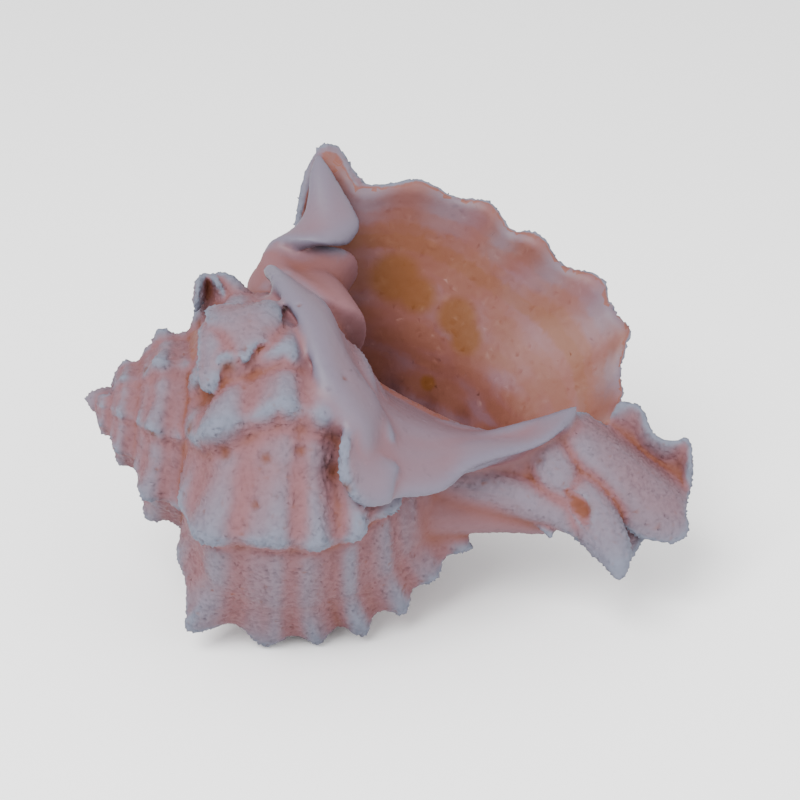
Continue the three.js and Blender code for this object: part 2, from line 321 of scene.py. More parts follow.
# Each varix: growth angle, height, last station before the shield covers it, how spiny it
# is, and how many degrees its shoulder and its base end are ahead of its middle.
VARICES = [
    (-52, 0.85, 17, 0.85, 0, 0), (-105, 0.75, 17, 0.35, 0, 0), (-158, 0.9, 17, 0.75, -8, -8),
    (-219, 0.85, 13, 0.2, 8, -18), (-261, 0.95, 12, 0.15, 17, 3), (-280, 0.8, 6.5, 0.3, 12, 0),
    (-330, 0.8, 4, 0.5, 0, 0),
]
VARIX_STEP = 45
while VARICES[-1][0] > OLDEST_TURN:
    VARICES.append((VARICES[-1][0] - VARIX_STEP, 0.75, 17, 0.6, 0, 0))
varices = mesh_object(
    "varices", [v[:3] for v in VARICES], spiny=[v[3] for v in VARICES],
    bend=[(v[4], v[5], 0) for v in VARICES],
)
shell_material = bpy.data.materials.new("shell")
tree = growth_tree()
common = {
    "Section": section, "Varices": varices, "Expansion per turn": EXPANSION,
    "Lip bearing": LIP_BEARING, "Varix ramp": 22.0, "Lip flare": 1.0, "Flare span": 34.0,
    "Seed": 5, "Material": shell_material,
}
pieces = []
for begin, end, rings, varix_height in (
    (-352, 0, 300, 5.2), (-704, -350, 240, 4.6), (-1056, -702, 160, 4.6),
    (OLDEST_TURN, -1054, 100, 4.6),
):
    pieces.append(grown("whorl", tree, **common, **{
        "From turn": float(begin), "To turn": float(end), "Rings": rings,
        "Varix height": varix_height, "Varix overhang": 1.6, "Rib height": 1.9,
        "Lip scallop": 1.8, "Lip spine": 11.5, "Lip spine width": 5.8,
    }))
CHAMBER_FROM, CHAMBER_TO, CHAMBER_RINGS = -330.0, 3.0, 140
chamber = grown("chamber", tree, **common, **{
    "From turn": CHAMBER_FROM, "To turn": CHAMBER_TO, "Rings": CHAMBER_RINGS, "Wall": WALL,
    "Lip edge": 1.5, "Lip scallop": 1.8, "Lip spine": 10.0, "Lip spine width": 4.0,
})
for made in (section, varices):
    bpy.data.objects.remove(made)


# ---- Shell: what stands on the whorls ---------------------------------------------------
# The same shell carbonate, in sheets and limbs: the callus shield spread over the whorl
# below, the canal with its older ends beside it, and the open spines and leaves of varices.
def place(out, along, bearing):
    """A point of the growth frame."""
    turned = math.radians(bearing)
    return (along, -out * math.sin(turned), out * math.cos(turned))


def facing(along, up, front):
    """A point by its height towards bearing -10 and its distance towards bearing 80."""
    a, b = math.radians(-10), math.radians(80)
    y = -up * math.sin(a) - front * math.sin(b)
    return (along, y, up * math.cos(a) + front * math.cos(b))


def sheet(name, rows, thick, steps=5):
    """A closed sheet through rows of points. thick: millimetres at the first and last row."""
    grid = spline(np.asarray(rows, float).reshape(len(rows), -1), steps)
    grid = grid.reshape(len(grid), -1, 3)
    grid = np.stack([spline(row, steps) for row in grid])
    n, m = grid.shape[:2]
    normal = np.cross(np.gradient(grid, axis=0), np.gradient(grid, axis=1))
    normal /= np.linalg.norm(normal, axis=2, keepdims=True) + 1e-9
    rim = np.minimum(np.minimum(np.arange(m), np.arange(m)[::-1]) / 3 + 0.4, 1)
    half = 0.5 * np.linspace(thick[0], thick[1], n)[:, None] * rim
    points = np.concatenate([grid + normal * half[..., None], grid - normal * half[..., None]])
    points = points.reshape(-1, 3)
    faces = []
    for i in range(n - 1):
        for j in range(m - 1):
            a = i * m + j
            faces.append((a, a + 1, a + m + 1, a + m))
            b = a + n * m
            faces.append((b, b + m, b + m + 1, b + 1))
    border = [(0, j) for j in range(m)] + [(i, m - 1) for i in range(1, n)]
    border += [(n - 1, j) for j in range(m - 2, -1, -1)] + [(i, 0) for i in range(n - 2, 0, -1)]
    ring = [i * m + j for i, j in border]
    for a, b in zip(ring, ring[1:] + ring[:1]):
        faces.append((b, a, a + n * m, b + n * m))
    return mesh_object(name, points, faces)


def ring_faces(rings, sides):
    """The faces of a closed run of rings, each with so many sides."""
    points = rings * sides
    faces = [tuple(range(sides))[::-1], tuple(range(points - sides, points))]
    for i in range(rings - 1):
        for j in range(sides):
            a, b = i * sides + j, i * sides + (j + 1) % sides
            faces.append((a, b, b + sides, a + sides))
    return faces


def limb(name, rows, flat_to, sides=20, steps=8):
    """A tapering limb. Each row: out, along, bearing, half width, half thickness."""
    flat_to = np.array(place(1, 0, flat_to))
    stops = np.array([(*place(*row[:3]), *row[3:]) for row in rows])
    line = spline(stops, steps)
    run = np.gradient(line[:, :3], axis=0)
    wide = np.cross(run, flat_to)
    wide /= np.linalg.norm(wide, axis=1, keepdims=True)
    thin = np.cross(wide, run)
    thin /= np.linalg.norm(thin, axis=1, keepdims=True)
    turn = np.arange(sides) * 2 * math.pi / sides
    points = (
        line[:, None, :3]
        + wide[:, None] * (line[:, 3, None] * np.cos(turn))[..., None]
        + thin[:, None] * (line[:, 4, None] * np.sin(turn))[..., None]
    ).reshape(-1, 3)
    return mesh_object(name, points, ring_faces(len(line), sides))


# Each row crosses the shield's face: out, along and bearing, from its inner to its free edge.
SHIELD_ROWS = [
    [(26, 35, -22), (29.5, 36, 5), (31.5, 32, 22)],
    [(23, 41, -24), (29, 43, 26), (31.5, 39, 45)],
    [(19, 48, -24), (25, 49, 48), (31, 44.5, 72)],
    [(15, 56, -24), (21, 57, 66), (28.5, 52, 92)],
    [(11.5, 65, -24), (17.5, 65, 70), (25, 61, 100)],
    [(8.5, 75, -24), (14.5, 74, 64), (18.5, 72, 96)],
    [(7, 85, -20), (14, 85, 34), (14, 84, 68)],
    [(8, 94, -10), (17, 95.5, 17), (15, 94, 34)],
]
# How far the underside lies below the face, at the same three places.
SHIELD_DEPTH = (5, 8, 4)
# The bearing that the broad faces of the limbs look towards.
FLAT_TO = 80


def shield_body():
    """The shield as a thick pad: its face, and an underside sunk below it."""
    rings = []
    for row in SHIELD_ROWS:
        face = np.array([place(*point) for point in row])
        under = [place(out - sink, *rest) for (out, *rest), sink in zip(row, SHIELD_DEPTH)]
        rings.append(np.concatenate([spline(face, 6), spline(np.array(under), 6)[::-1]]))
    rings = spline(np.array(rings).reshape(len(rings), -1), 5)
    faces = ring_faces(len(rings), rings.shape[1] // 3)
    return mesh_object("shield", rings.reshape(-1, 3), faces)


pieces.append(shield_body())
shield_points = [tuple(v.co) for v in pieces[-1].data.vertices]
pieces.append(limb("pillar", [
    (0, 0.8, 0, 0.3, 0.3), (0, 6, 0, 3, 3), (0, 30, 0, 5.5, 5.5), (0, 60, 0, 9, 9),
    (0, 98, 0, 7, 7), (0, 104, 0, 2, 2),
], FLAT_TO))
for rows in (
    [(6, 80, 60, 6, 4), (5, 95, 45, 8.5, 4), (4, 106, 160, 8, 2.2), (7, 114, 175, 5, 1)],
    [(5, 70, 110, 7, 6), (6, 84, 115, 5, 5), (9, 95, 120, 3.5, 3), (12, 102, 128, 2.5, 1.5)],
    [(13, 54, 140, 10, 7), (8, 68, 150, 8, 6), (5, 82, 155, 7, 5), (5, 95, 160, 5, 4)],
):
    pieces.append(limb("canal back", rows, FLAT_TO))
base_points = [tuple(v.co) for v in pieces[-1].data.vertices]
# The open canal, from the shield to its broken end; each point as facing takes it.
CANAL = [
    [(101.5, 19, -5), (99.5, 16, -4), (94.5, 13.3, 4.5), (92.5, 10.5, 6.5), (90.7, 8, 6)],
    [(104.8, 19.5, -1), (102.8, 14.6, -3), (99.5, 9.9, 6.5), (96.4, 6.6, 9), (94.4, 3.7, 7)],
    [(109.3, 19.6, 0), (107.6, 12.4, -3), (104.6, 7.6, 6.5), (101.5, 3.7, 9), (99.9, 0.8, 7)],
    [(112, 14.8, 1), (112, 10, -3), (109.5, 5.2, 6), (106.1, 0.3, 8.5), (105.1, -3.2, 6)],
    [(115.5, 13, 2), (115.8, 8.4, -2.5), (114, 3, 5.5), (111.4, -2.2, 7.5), (109.9, -7.2, 5.5)],
    [(119.6, 14.2, 3), (119.5, 7, -1), (118, 1, 4.5), (116.1, -3.6, 6.5), (113.7, -8, 5.5)],
    [(120.5, 8.5, 3), (121.5, 3.6, 1), (120.4, -1, 4), (121.3, -4.8, 5), (119.2, -7.7, 5)],
]
pieces.append(sheet("canal", [[facing(*p) for p in row] for row in CANAL], (3, 1.6)))


def across_front(name, rows, sides=16):
    """A limb whose rows are given as facing takes them, with half width and half thickness."""
    stops = []
    for along, up, front, wide, thick in rows:
        x, y, z = facing(along, up, front)
        stops.append((math.hypot(y, z), x, math.degrees(math.atan2(-y, z)), wide, thick))
    return limb(name, stops, FLAT_TO, sides)


# The canal of the varix before, rolled nearly shut, and the worn crest that leads to it.
pieces.append(across_front("older canal", [
    (95.5, 1.5, 5, 4, 4), (98.6, -2.4, 6.5, 5, 4.6), (102.8, -7.4, 8, 4.8, 4.2),
    (106.2, -12, 9.5, 3.6, 3), (107.4, -15.3, 10.5, 2, 1.8), (107.4, -17.6, 11.2, 0.5, 0.5),
]))
pieces.append(across_front("worn crest", [
    (85.5, 8.5, 6, 3.5, 3.5), (89.8, 5, 7.5, 4.4, 3.6), (93.2, 0.8, 8, 4.6, 3.4),
    (96.6, -3.2, 7.5, 3.4, 2.4),
]))
rolled_hollow = across_front("rolled hollow", [
    (94.8, -1.5, 12, 1, 2), (96.8, -4.2, 12.3, 2.4, 2.6), (98.8, -7.6, 12.6, 2, 2.2),
    (100.2, -10.4, 12, 0.6, 1),
])
# Callus closes the shoulder spine with a flat plate, and lines the corner under it as a
# smooth channel that runs from the plate to the top of the shield.
PLATE = [
    [(60, 35.8, -17), (60.5, 36.8, -17), (60, 38.2, -17)],
    [(54.3, 35.8, -17), (53.8, 38.6, -15), (55, 42.2, -17)],
    [(47.4, 36.2, -17), (46.8, 40.9, -13.5), (50.2, 45.8, -16)],
    [(42.1, 33.5, -17), (42.4, 41.7, -12), (45.8, 48.1, -15)],
    [(39, 30.1, -17), (38.6, 38.2, -10.5), (41, 46.1, -15)],
]
CHANNEL = [
    [(40, 30.5, -20), (40, 37.5, -20), (42.5, 46, -22), (42, 48, -36)],
    [(36.5, 29.4, -18), (35.5, 36.4, -19), (38, 44, -23), (37, 45.5, -38)],
    [(32.5, 29.8, -12), (31, 36.3, -15), (33.2, 42.2, -20), (31, 44.5, -38)],
    [(30, 31.5, -6), (28.8, 37.4, -9), (30, 44, -14), (27, 46.5, -38)],
    [(27.5, 35.5, 0), (26.5, 41, 0), (26.3, 46, -5), (23, 48.5, -38)],
    [(25, 41, 6), (24, 45, 6), (22.5, 49, 0), (20, 51, -38)],
]
late_pieces = [sheet("plate", [[place(*p) for p in row] for row in PLATE], (1.6, 3.2))]
shield_points += [tuple(v.co) for v in late_pieces[0].data.vertices]
late_pieces.append(limb("corner", [
    (24, 33, -8, 5, 5), (30, 33, -18, 5.5, 5), (36, 34, -27, 4, 4),
], FLAT_TO))
late_pieces.append(sheet("channel", [[place(*p) for p in row] for row in CHANNEL], (6, 8)))
rose_points = [tuple(v.co) for made in late_pieces[1:] for v in made.data.vertices]
# Open spines and leaves that stand on single varices, worn blunt.
LEAVES = [
    [  # the leaf over the hollow of the third varix
        [(27, 20.5, 42), (28, 25, 40), (28.5, 28.5, 40), (29, 32.5, 35), (28.5, 34.5, 38)],
        [(29, 21.5, 52), (31, 25.5, 52), (31.8, 29, 50), (31.8, 32.5, 47), (30.5, 35, 47)],
        [(28.5, 23, 58), (31, 27, 63), (32.5, 29.8, 69), (32, 31.5, 61.5), (31, 34.8, 61)],
    ],
    [  # its neighbour on the shoulder
        [(26, 20.6, 48), (26.8, 21.4, 62), (26.3, 22.3, 73), (25.5, 23.4, 79)],
        [(28.5, 22.3, 50), (29.8, 23.6, 63), (29.3, 24, 73), (28.2, 24.7, 79.5)],
        [(29.3, 25, 53), (30.8, 26.6, 65), (30.6, 26, 73), (29.3, 25.6, 79)],
    ],
    [  # the curled shoulder spine before it
        [(22, 19, 26), (23, 19.5, 10), (23.5, 22, 9), (23, 24.5, 20)],
        [(25.5, 18.6, 26), (26, 19, 12), (26.5, 21.2, 11), (26, 23.5, 19)],
        [(28, 18.4, 25), (28.3, 18.9, 14), (28.4, 20.4, 13), (28, 21.6, 19)],
    ],
    [  # the flap where the shield's edge curls back
        [(29, 50.5, 80), (32, 49.5, 84), (33.2, 49.5, 89), (32, 50.2, 93)],
        [(28.5, 53, 86), (31.8, 51.5, 93), (33, 51, 99), (31.5, 51.8, 103)],
        [(28, 56.5, 90), (30.5, 55.5, 98), (31.5, 55, 105), (30, 55.8, 109)],
        [(26.5, 61, 92), (28.5, 60.5, 99), (29.3, 60.5, 104.5), (28.2, 61, 107.5)],
    ],
]
for rows in LEAVES:
    pieces.append(sheet("leaf", [[place(*p) for p in row] for row in rows], (2.0, 1.3)))
for rows in (
    [(22, 69, 128, 3.5, 2.5), (28, 72, 126, 2, 1.5), (31.5, 74, 124, 0.6, 0.5)],
    [(14, 78, 122, 3.5, 2.5), (20, 80.5, 119, 2, 1.5), (25, 83, 116, 0.6, 0.5)],
    [(6, 90, 130, 3.5, 2.5), (9.5, 92.5, 136, 2, 1.5), (12.8, 94.5, 141, 0.6, 0.5)],
):
    pieces.append(limb("worn spine", rows, FLAT_TO, 12, 4))
# The shield's free edge lifts off the whorl below, and curls back into a flap at its foot.
SHIELD_EDGE = [
    [(29, 33.5, -4), (31, 31.5, 2), (31.4, 29.8, 6)],
    [(28.5, 37.5, 12), (30.2, 35, 22), (30.6, 33, 29)],
    [(27.8, 43.5, 31), (30.4, 41, 42), (31, 38.5, 50)],
    [(26.5, 48.5, 52), (30.8, 45.8, 66), (31.6, 43.4, 72)],
    [(24, 54.5, 64), (29.5, 52.5, 80), (30.5, 50.7, 88)],
    [(22, 58, 74), (28.5, 55.5, 95), (30, 54, 104)],
    [(20, 63, 80), (25.5, 61.5, 98), (28, 60.5, 106)],
    [(17, 69, 76), (21.5, 69, 94), (24, 70, 102)],
    [(14.5, 75, 66), (18, 75, 80), (20, 75.5, 88)],
    [(13, 84, 50), (15, 85.5, 62), (16.3, 86, 68)],
    [(15, 89, 28), (15, 90.5, 42), (15.8, 91.5, 50)],
    [(17.5, 95.5, 15), (16.8, 95, 22), (16.5, 94.5, 28)],
]
pieces.append(sheet("shield edge", [[place(*p) for p in row] for row in SHIELD_EDGE], (3, 1.6)))
shield_points += [tuple(v.co) for v in pieces[-1].data.vertices]


# ---- Shell: one body --------------------------------------------------------------------
# All of it is one growth: the living chamber is opened through every piece, the pieces are
# fused, and the joins are rounded as shell laid over shell rounds them.
def cut(made, tool):
    """The object less another, both closed."""
    modifier = made.modifiers.new("cut", "BOOLEAN")
    modifier.operation, modifier.solver, modifier.object = "DIFFERENCE", "MANIFOLD", tool
    return evaluated(made)


def facing_out(made):
    """Turns a closed mesh's faces outwards."""
    work = bmesh.new()
    work.from_mesh(made.data)
    if work.calc_volume(signed=True) < 0:
        bmesh.ops.reverse_faces(work, faces=work.faces)
        work.to_mesh(made.data)
    work.free()


for made in pieces + [chamber, rolled_hollow]:
    facing_out(made)
pieces = [cut(made, chamber) for made in pieces] + late_pieces


def joined(parts, name):
    """One object from several."""
    bpy.ops.object.select_all(action="DESELECT")
    for made in parts:
        made.select_set(True)
    bpy.context.view_layer.objects.active = parts[0]
    bpy.ops.object.join()
    parts[0].name = name
    return parts[0]


def positions(mesh):
    """The mesh's vertex positions as an array."""
    values = np.empty(len(mesh.vertices) * 3, np.float32)
    mesh.vertices.foreach_get("co", values)
    return values.reshape(-1, 3).astype(float)


def outwards(mesh):
    """The mesh's vertex normals as an array."""
    values = np.empty(len(mesh.vertices) * 3, np.float32)
    mesh.vertex_normals.foreach_get("vector", values)
    return values.reshape(-1, 3).astype(float)


def edge_ends(mesh):
    """The two vertices of each of the mesh's edges."""
    ends = np.empty(len(mesh.edges) * 2, np.int32)
    mesh.edges.foreach_get("vertices", ends)
    return ends.reshape(-1, 2)


def largest_part(made):
    """Keeps the loose part with the most vertices."""
    mesh = made.data
    ends = edge_ends(mesh)
    label = np.arange(len(mesh.vertices))
    while True:
        low = np.minimum(label[ends[:, 0]], label[ends[:, 1]])
        before = label.copy()
        np.minimum.at(label, ends[:, 0], low)
        np.minimum.at(label, ends[:, 1], low)
        label = label[label]
        if (before == label).all():
            break
    drop = label != np.bincount(label).argmax()
    if drop.any():
        work = bmesh.new()
        work.from_mesh(mesh)
        bmesh.ops.delete(work, geom=[v for v, d in zip(work.verts, drop) if d], context="VERTS")
        work.to_mesh(mesh)
        work.free()


def applied(made, kind, **settings):
    """The object with one modifier of this kind applied."""
    modifier = made.modifiers.new(kind, kind)
    for key, value in settings.items():
        setattr(modifier, key, value)
    return evaluated(made)


shell = joined(pieces, "fused")
chamber_points, chamber_normals = positions(chamber.data), outwards(chamber.data)
bpy.data.objects.remove(chamber)
VOXEL = 0.42
shell = applied(shell, "REMESH", mode="VOXEL", voxel_size=VOXEL, adaptivity=0)
shell = cut(shell, rolled_hollow)
bpy.data.objects.remove(rolled_hollow)
largest_part(shell)
shell = applied(shell, "SMOOTH", factor=0.5, iterations=6)


# ---- Shell: wear, dirt and where each point lies ----------------------------------------
# The fused body is measured point by point, because wear and colour follow the growth: the
# growth angle, the station, inside or outside, how near the shield, and how deep a recess.
LINE_STEPS = 4
BATCH = 20000
NEAR_CHAMBER, NEAR_SHIELD, NEAR_CHANNEL = 1.9, 2.4, 4.5
LIMIT = 1.5
SECTION_LINE = spline([p[:2] for p in OUTER] + INNER, LINE_STEPS, closed=True)


def stored(mesh, key, values):
    """Keeps one number for each vertex as an attribute of the mesh."""
    data = mesh.attributes.new(key, "FLOAT", "POINT").data
    data.foreach_set("value", np.asarray(values, np.float32))


def grown_at(points):
    """Growth angle and station of points of the growth frame, by the nearest whorl."""
    out = np.hypot(points[:, 1], points[:, 2])
    bearing = np.degrees(np.arctan2(-points[:, 1], points[:, 2]))
    best = np.full(len(points), np.inf)
    turn, station = np.zeros((2, len(points)))
    for whorl in range(4):
        angle = (bearing - LIP_BEARING) % 360 - 360 * (whorl + 1)
        size = EXPANSION ** (angle / 360)
        flat = np.stack([out, points[:, 0]], 1) / size[:, None]
        for start in range(0, len(points), BATCH):
            part = slice(start, start + BATCH)
            gap = np.linalg.norm(flat[part, None] - SECTION_LINE[None], axis=2)
            near = gap.argmin(1)
            gap = gap[np.arange(len(gap)), near] * size[part]
            better = gap < best[part]
            best[part] = np.where(better, gap, best[part])
            turn[part] = np.where(better, angle[part], turn[part])
            station[part] = np.where(better, near / LINE_STEPS, station[part])
    return turn, station


def neighbours(mesh):
    """Every pair of joined vertices, both ways round, and how many each vertex has."""
    ends = edge_ends(mesh)
    both = np.concatenate([ends, ends[:, ::-1]])
    return both[:, 0], both[:, 1], np.bincount(both[:, 0], minlength=len(mesh.vertices))


def averaged(values, links, times):
    """Values spread over the mesh by averaging each point with its neighbours."""
    at, other, count = links
    for _ in range(times):
        sums = [np.bincount(at, column[other], len(count)) for column in values.T]
        values = np.stack(sums, 1) / np.maximum(count, 1)[:, None]
    return values


def closest(points, others):
    """For each point, which of the others is nearest and how far off it is."""
    tree = kdtree.KDTree(len(others))
    for number, point in enumerate(others):
        tree.insert(point, number)
    tree.balance()
    found = [tree.find(point)[1:] for point in points]
    return np.array([f[0] for f in found]), np.array([f[1] for f in found])


def nearness(points, others, reach):
    """1 at points near one of the others, falling to 0 over the last millimetre of reach."""
    gap = closest(points, others)[1]
    return averaged(np.clip(reach - gap, 0, 1)[:, None], links, 4)[:, 0]


# Points near the living chamber's wall that look into it are inside, and take their growth
# angle and station from the chamber's own rings.
shape = shell.data
points, normals = positions(shape), outwards(shape)
turn, station = grown_at(points)
links = neighbours(shape)
nearest, gap = closest(points, chamber_points)
facing_in = (gap < NEAR_CHAMBER) & ((normals * chamber_normals[nearest]).sum(1) < -0.2)
hollow = averaged(facing_in[:, None].astype(float), links, 4)[:, 0]
ring, spot = np.divmod(nearest, PER_STATION * (len(OUTER) + len(INNER)))
per_ring = (CHAMBER_TO - CHAMBER_FROM) / (CHAMBER_RINGS - 2)
turn = np.where(facing_in, CHAMBER_FROM + ring * per_ring, turn)
station = np.where(facing_in, spot / PER_STATION, station)
# How far a point lies below its surroundings, close by and over a few millimetres.
recess_fine = ((averaged(points, links, 6) - points) * normals).sum(1)
recess_broad = ((averaged(points, links, 60) - points) * normals).sum(1)
near_shield = nearness(points, shield_points, NEAR_SHIELD)
rose = nearness(points, rose_points, NEAR_CHANNEL)
rose = np.maximum(rose, 0.75 * nearness(points, base_points, NEAR_SHIELD))
# Sharp edges are worn round, and the inside, the shield and the channel are smoothed.
edges = np.clip(-3 * recess_fine, 0.25, 1)
points += edges[:, None] * (averaged(points, links, 5) - points)
calm = np.clip(hollow + near_shield + rose, 0, 1)[:, None]
points += calm * (averaged(points, links, 14) - points)
shape.vertices.foreach_set("co", points.astype(np.float32).ravel())
shape.update()
stored(shape, "turn", turn)
stored(shape, "station", station)
stored(shape, "hollow", hollow)
recess_broad = recess_broad * EXPANSION ** (turn / 360)
stored(shape, "recess", np.clip(recess_fine * 2.2 + recess_broad * 0.55, -LIMIT, LIMIT))
stored(shape, "crease", np.clip(averaged(recess_fine[:, None], links, 1)[:, 0] * 4, 0, 1))
stored(shape, "deep", np.clip(recess_broad, -LIMIT, LIMIT))
# Pits and pockets, sunk in and coloured rust-brown as dirt and as painted shade: place in the
# growth frame, radius, depth.
PITS = [
    ((19.5, -5, 18), 1.3, 0.8), ((23, -22.5, 4.5), 3.2, 1.2), ((29, -29, -5), 1.7, 1),
    ((36.5, -30.5, -4.5), 1.4, 0.9), ((42.5, -30, -2), 1.3, 0.7), ((29, -29.5, 14.5), 0.8, 0.7),
    ((37.5, -20.5, 24.5), 0.7, 0.5), ((50.5, -23.5, 14), 0.7, 0.5), ((48, -28.5, 12.5), 0.8, 0.5),
    ((36, -30.5, -13), 1.1, 0.9), ((15, -17, -4.5), 1.8, 0.7), ((21.5, -23.5, -2), 2.4, 0.9),
    ((11.5, -9.5, 7.5), 1.2, 0.5), ((49.5, -27.5, -4.5), 2.4, 0.6), ((51.5, -32, -7), 1.6, 0.4),
    ((89, -9.5, 4.5), 1.2, 0.7), ((27, -29.5, 10), 2.2, 0.8), ((99, -12, -3), 2, 0.4),
]
PIT_SPREAD = 1.7
soil = np.zeros(len(points))
for spot, reach, depth in PITS:
    within = np.clip(1 - np.linalg.norm(points - spot, axis=1) / reach / PIT_SPREAD, 0, 1)
    points -= normals * (depth * within * within * (3 - 2 * within))[:, None]
    soil = np.maximum(soil, within)
shape.vertices.foreach_set("co", points.astype(np.float32).ravel())
shape.update()
stored(shape, "soil", soil)
stored(shape, "shield", near_shield)
# Stains in the throat: place in the growth frame, radius.
STAINS = [
    ((58, 27, 37), 9), ((63, 26, 34), 7), ((72, 24.6, 31), 7), ((75, 25, 27), 6),
    ((69.3, 30.5, 16.5), 3),
]
stain = np.zeros(len(points))
for spot, reach in STAINS:
    from_spot = np.linalg.norm(points - spot, axis=1)
    stain = np.maximum(stain, np.clip(1 - from_spot / reach, 0, 1))
stored(shape, "stain", stain * facing_in)
stored(shape, "rose", rose)


def surface_tree():
    """Grain, growth lines and pits, laid on along the normals where the shell is worn.

    Each noise runs at five to the millimetre, finer than the mesh, so together they give a
    sanded, frosty grain. Growth lines are drawn out along the lip that was the edge then.
    """
    tree = bpy.data.node_groups.new("worn surface", "GeometryNodeTree")
    face = tree.interface
    face.new_socket("Geometry", in_out="OUTPUT", socket_type="NodeSocketGeometry")
    face.new_socket("Geometry", in_out="INPUT", socket_type="NodeSocketGeometry")
    for name in ("Lumps", "Grain", "Growth lines", "Pits", "Noise scale"):
        face.new_socket(name, in_out="INPUT", socket_type="NodeSocketFloat")
    face.new_socket("Material", in_out="INPUT", socket_type="NodeSocketMaterial")
    given = add(tree, "NodeGroupInput").outputs
    scale = given["Noise scale"]
    noise, ranged = "ShaderNodeTexNoise", "ShaderNodeMapRange"
    carried = {
        name: add(tree, "GeometryNodeInputNamedAttribute", name, data_type="FLOAT")
        for name in ("hollow", "rose", "shield", "turn", "station")
    }

    where = add(tree, "GeometryNodeInputPosition")
    smooth_parts = add(tree, "MAXIMUM", carried["hollow"], carried["rose"])
    smooth_parts = add(tree, "MAXIMUM", smooth_parts, carried["shield"])
    rough = add(tree, "SUBTRACT", 1.0, smooth_parts, use_clamp=True)
    lumps = add(tree, noise, where, scale, 0.18, 1.6)
    grain = add(tree, noise, where, scale, 0.7, 1.0)
    along_lip = add(tree, "MULTIPLY", carried["station"], 0.35)
    line = add(tree, "MULTIPLY", carried["turn"], 0.42)
    line = add(tree, "ShaderNodeCombineXYZ", line, along_lip, 0.0)
    lines = add(tree, noise, line, scale, 1.0, 2.5)
    cells = add(tree, "ShaderNodeTexVoronoi", where, scale, 0.26)
    pit = add(tree, ranged, cells, 0.12, 0.34, 1.0, 0.0, interpolation_type="SMOOTHSTEP")
    patchy = add(tree, noise, where, scale, 0.11, 2.0)
    patchy = add(tree, ranged, patchy, 0.46, 0.62, 0.0, 1.0)
    pit = add(tree, "MULTIPLY", add(tree, "MULTIPLY", pit, patchy), rough)

    height = add(tree, "SUBTRACT", lumps, 0.5)
    height = add(tree, "MULTIPLY", height, add(tree, "MULTIPLY_ADD", rough, 0.75, 0.25))
    height = add(tree, "MULTIPLY", height, given["Lumps"])
    for texture, strength in ((grain, "Grain"), (lines, "Growth lines")):
        relief = add(tree, "MULTIPLY", add(tree, "SUBTRACT", texture, 0.5), rough)
        height = add(tree, "MULTIPLY_ADD", relief, given[strength], height)
    height = add(tree, "SUBTRACT", height, add(tree, "MULTIPLY", pit, given["Pits"]))
    normal = add(tree, "GeometryNodeInputNormal")
    way = add(tree, "ShaderNodeVectorMath", normal, height, operation="SCALE")
    moved = add(tree, "GeometryNodeSetPosition", given["Geometry"], None, None, way)
    kept = add(
        tree, "GeometryNodeStoreNamedAttribute", moved, None, "pit", pit, data_type="FLOAT"
    )
    real = add(tree, "GeometryNodeRealizeInstances", kept)
    add(tree, "NodeGroupOutput", add(
        tree, "GeometryNodeSetMaterial", real, None, given["Material"]
    ))
    return tree


surface = surface_tree()
modifier = shell.modifiers.new("surface", "NODES")
modifier.node_group = surface
strengths = {
    "Lumps": 1.3, "Grain": 0.12, "Growth lines": 0.3, "Pits": 0.3, "Noise scale": 5.0,
    "Material": shell_material,
}
for item in surface.interface.items_tree:
    if item.in_out == "INPUT" and item.name in strengths:
        modifier[item.identifier] = strengths[item.name]
shell = evaluated(shell)
MOST_TRIANGLES = 192000
ratio = min(1, MOST_TRIANGLES / (2 * len(shell.data.polygons)))
shell = applied(shell, "DECIMATE", ratio=ratio)

# Laid on its varices, in metres, with the origin under its middle.
REST_PITCH, REST_ROLL = 12.2, -27.8
OFFSET = Vector((-61.317, -5.817, 46.798))
pitched = Matrix.Rotation(math.radians(REST_PITCH), 4, "Y")
laid = pitched @ Matrix.Rotation(math.radians(REST_ROLL), 4, "X")
shell.data.transform(Matrix.Scale(0.001, 4) @ Matrix.Translation(OFFSET) @ laid)
for vertex in shell.data.vertices:
    vertex.co.z = max(vertex.co.z, 0)
shell.name = "murex"
for face in shell.data.polygons:
    face.use_smooth = True


# ---- Shell: material ----------------------------------------------------------------
# Weathered aragonite and calcite: chalky blue-white where it is worn, which also serves as a
# painted highlight on the crests; rose, dusky and rust-brown deeper in recesses and creases,
# as painted shade with some silt; rust-brown silt in the pits, with painted shade in the
# larger pockets; and smooth rose porcelain inside.
def linear(hex_colour):
    """Linear RGBA of an sRGB colour written as six hex digits."""
    srgb = [int(hex_colour[i : i + 2], 16) / 255 for i in (0, 2, 4)]
    return [c / 12.92 if c <= 0.04045 else ((c + 0.055) / 1.055) ** 2.4 for c in srgb] + [1]


# The blue-white colour is worn shell and also the painted highlight on crests; the rose, dusky
# and rust colours also paint shade in recesses and creases.
WORN_AND_HIGHLIT, ROSE, DUSKY, RUST_AND_SHADE = map(linear, ("5C5F6D", "67454A", "61372F", "582B14"))
PALE, THROAT, STAIN_AND_SHADE = map(linear, ("5B5563", "673C35", "613718"))
shell_material.use_nodes = True
tree = shell_material.node_tree
noise, ranged, mix = "ShaderNodeTexNoise", "ShaderNodeMapRange", "ShaderNodeMix"
smooth, colours = {"interpolation_type": "SMOOTHSTEP"}, {"data_type": "RGBA"}
carried = {
    name: add(tree, "ShaderNodeAttribute", attribute_name=name).outputs["Fac"]
    for name in (
        "turn", "station", "hollow", "recess", "deep", "crease", "pit", "soil", "shield",
        "rose", "stain",
    )
}

